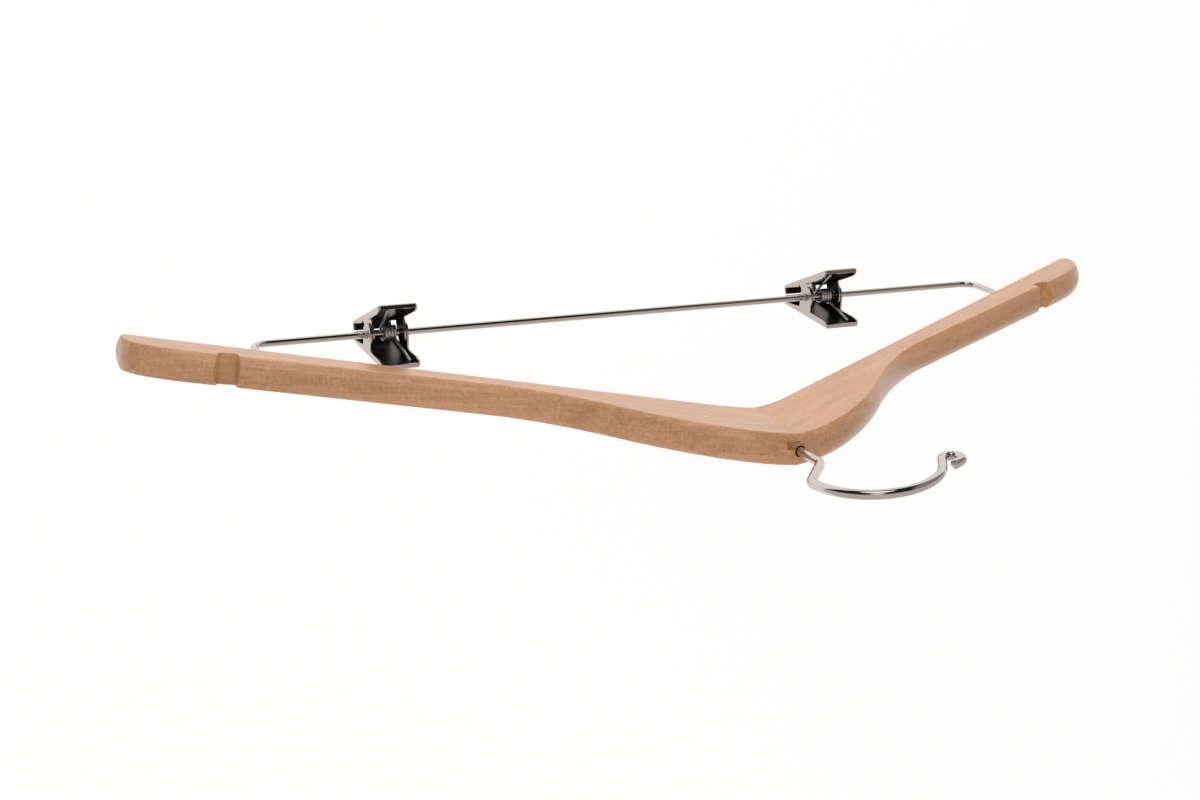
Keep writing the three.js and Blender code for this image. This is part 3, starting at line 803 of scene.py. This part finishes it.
# Stage and lamps, in metres and watts
WHITE = "#FFFFFF"
FLOOR_DROP = 0.25
FLOOR_SIZE = 3
FLOOR_PAINT = "#F2F1EF"
FLOOR_MIRRORED = "#F1EAE4"
FLOOR_SHADE = 0.12
LAMP_AIM = Vector((0.013, -0.01, -0.1))
LAMPS = (
    ("right_softbox", (0.5, -1.1, 0.16), 0.8, 7.5, WHITE),
    ("left_softbox", (-0.6, -1.1, 0.05), 0.8, 7.2, WHITE),
    ("back_bounce", (0.2, 1.1, 0.35), 1.2, 13, "#FFF3EA"),
    ("upper_fill", (0.49, -0.7, 1.02), 0.7, 3, WHITE),
)

# Room that metal sees: its colour and strengths, where its back and far side begin and end, and
# two light panels over the camera, by the way that each lies and half the angle that it fills
AMBIENT = 0.45
ROOM_COLOUR = "#F4EAE3"
FRONT_STRENGTH = 0.02
BACK_STRENGTH = 0.6
BACK_FROM, BACK_TO = -0.42, -0.1
SIDE_STRENGTH = 0.28
SIDE_FROM, SIDE_TO = -0.36, -0.6
PANELS = (
    (Vector((0.14, -0.96, 0.24)), radians(14)),
    (Vector((0.37, -0.52, 0.77)), radians(8)),
)
PANEL_EDGE = radians(3)
PANEL_STRENGTH = 1.6


def make_camera():
    """The camera where the photograph was taken from."""
    data = bpy.data.cameras.new("camera")
    data.lens = LENS
    data.sensor_width = SENSOR
    data.clip_start = NEAREST_SEEN
    made = bpy.data.objects.new("camera", data)
    axes = Matrix((CAMERA_RIGHT, CAMERA_UP, CAMERA_BACK)).transposed().to_4x4()
    made.matrix_world = Matrix.Translation(Vector(CAMERA_PLACE) * MM) @ axes
    bpy.context.scene.collection.objects.link(made)
    bpy.context.scene.camera = made


def make_floor():
    """A matt pale floor well below the hanger: white to the camera, with a little of its shade."""
    made, tree = new_material("pale_floor")
    light = node(tree, "ShaderNodeLightPath").outputs
    direct = node(
        tree, "ShaderNodeMath",
        {0: light["Is Camera Ray"], 1: light["Is Glossy Ray"]}, operation="MAXIMUM",
    ).outputs[0]
    seen = node(
        tree, "ShaderNodeMath",
        {0: direct, 1: light["Is Transmission Ray"]}, operation="MAXIMUM",
    ).outputs[0]
    paint = node(tree, "ShaderNodeBsdfDiffuse", {"Color": linear(FLOOR_PAINT)})
    shown = node(
        tree, "ShaderNodeMix",
        {0: light["Is Glossy Ray"], 6: linear(WHITE), 7: linear(FLOOR_MIRRORED)},
        data_type="RGBA",
    ).outputs[2]
    white = node(tree, "ShaderNodeEmission", {"Color": shown, "Strength": 1})
    share = node(
        tree, "ShaderNodeMath", {0: seen, 1: 1 - FLOOR_SHADE}, operation="MULTIPLY",
    ).outputs[0]
    shader = node(
        tree, "ShaderNodeMixShader", {0: share, 1: paint.outputs[0], 2: white.outputs[0]},
    )
    node(tree, "ShaderNodeOutputMaterial", {"Surface": shader.outputs[0]})
    bm = bmesh.new()
    bmesh.ops.create_grid(bm, size=FLOOR_SIZE / 2)
    low = CAD_BOX[0][2] - FLOOR_DROP
    floor = piece("floor", bm, Matrix.Translation((0, 0, low)), made)


def make_lamp(name, place, size, power, colour):
    """A soft lamp that metal doesn't mirror, because the world holds what metal sees."""
    data = bpy.data.lights.new(name, "AREA")
    data.shape = "SQUARE"
    data.size = size
    data.energy = power
    data.color = linear(colour)[:3]
    made = bpy.data.objects.new(name, data)
    made.location = place
    made.rotation_euler = (LAMP_AIM - Vector(place)).to_track_quat("-Z", "Y").to_euler()
    made.visible_glossy = False
    bpy.context.scene.collection.objects.link(made)


def make_world():
    """A white studio to the camera. Metal sees its pale back, dark front and light panels."""
    world = bpy.data.worlds.new("studio")
    bpy.context.scene.world = world
    world.use_nodes = True
    tree = world.node_tree
    tree.nodes.clear()
    light = node(tree, "ShaderNodeLightPath").outputs
    way = node(tree, "ShaderNodeTexCoord").outputs["Generated"]
    parts = node(tree, "ShaderNodeSeparateXYZ", {0: way}).outputs
    back = node(
        tree, "ShaderNodeMapRange",
        {
            "Value": parts["Y"], "From Min": BACK_FROM, "From Max": BACK_TO,
            "To Min": FRONT_STRENGTH, "To Max": BACK_STRENGTH,
        },
        interpolation_type="SMOOTHSTEP",
    ).outputs["Result"]
    side = node(
        tree, "ShaderNodeMapRange",
        {
            "Value": parts["X"], "From Min": SIDE_FROM, "From Max": SIDE_TO,
            "To Min": 0, "To Max": SIDE_STRENGTH,
        },
        interpolation_type="SMOOTHSTEP",
    ).outputs["Result"]
    room = node(tree, "ShaderNodeMath", {0: back, 1: side}, operation="MAXIMUM").outputs[0]
    for aim, spread in PANELS:
        facing = node(
            tree, "ShaderNodeVectorMath", {0: way, 1: aim}, operation="DOT_PRODUCT",
        ).outputs["Value"]
        panel = node(
            tree, "ShaderNodeMapRange",
            {
                "Value": facing, "From Min": cos(spread + PANEL_EDGE), "From Max": cos(spread),
                "To Min": 0, "To Max": PANEL_STRENGTH,
            },
        ).outputs["Result"]
        room = node(tree, "ShaderNodeMath", {0: room, 1: panel}, operation="MAXIMUM").outputs[0]
    mirrored = node(
        tree, "ShaderNodeBackground", {"Color": linear(ROOM_COLOUR), "Strength": room},
    )
    ambient = node(
        tree, "ShaderNodeBackground", {"Color": linear(WHITE), "Strength": AMBIENT},
    )
    white = node(tree, "ShaderNodeBackground", {"Color": linear(WHITE), "Strength": 1})
    lit = node(
        tree, "ShaderNodeMixShader",
        {0: light["Is Glossy Ray"], 1: ambient.outputs[0], 2: mirrored.outputs[0]},
    )
    seen = node(
        tree, "ShaderNodeMath",
        {0: light["Is Camera Ray"], 1: light["Is Transmission Ray"]}, operation="MAXIMUM",
    ).outputs[0]
    shown = node(
        tree, "ShaderNodeMixShader", {0: seen, 1: lit.outputs[0], 2: white.outputs[0]},
    )
    node(tree, "ShaderNodeOutputWorld", {"Surface": shown.outputs[0]})


make_camera()
make_floor()
make_world()
for lamp in LAMPS:
    make_lamp(*lamp)
bpy.context.scene.view_settings.view_transform = "Standard"
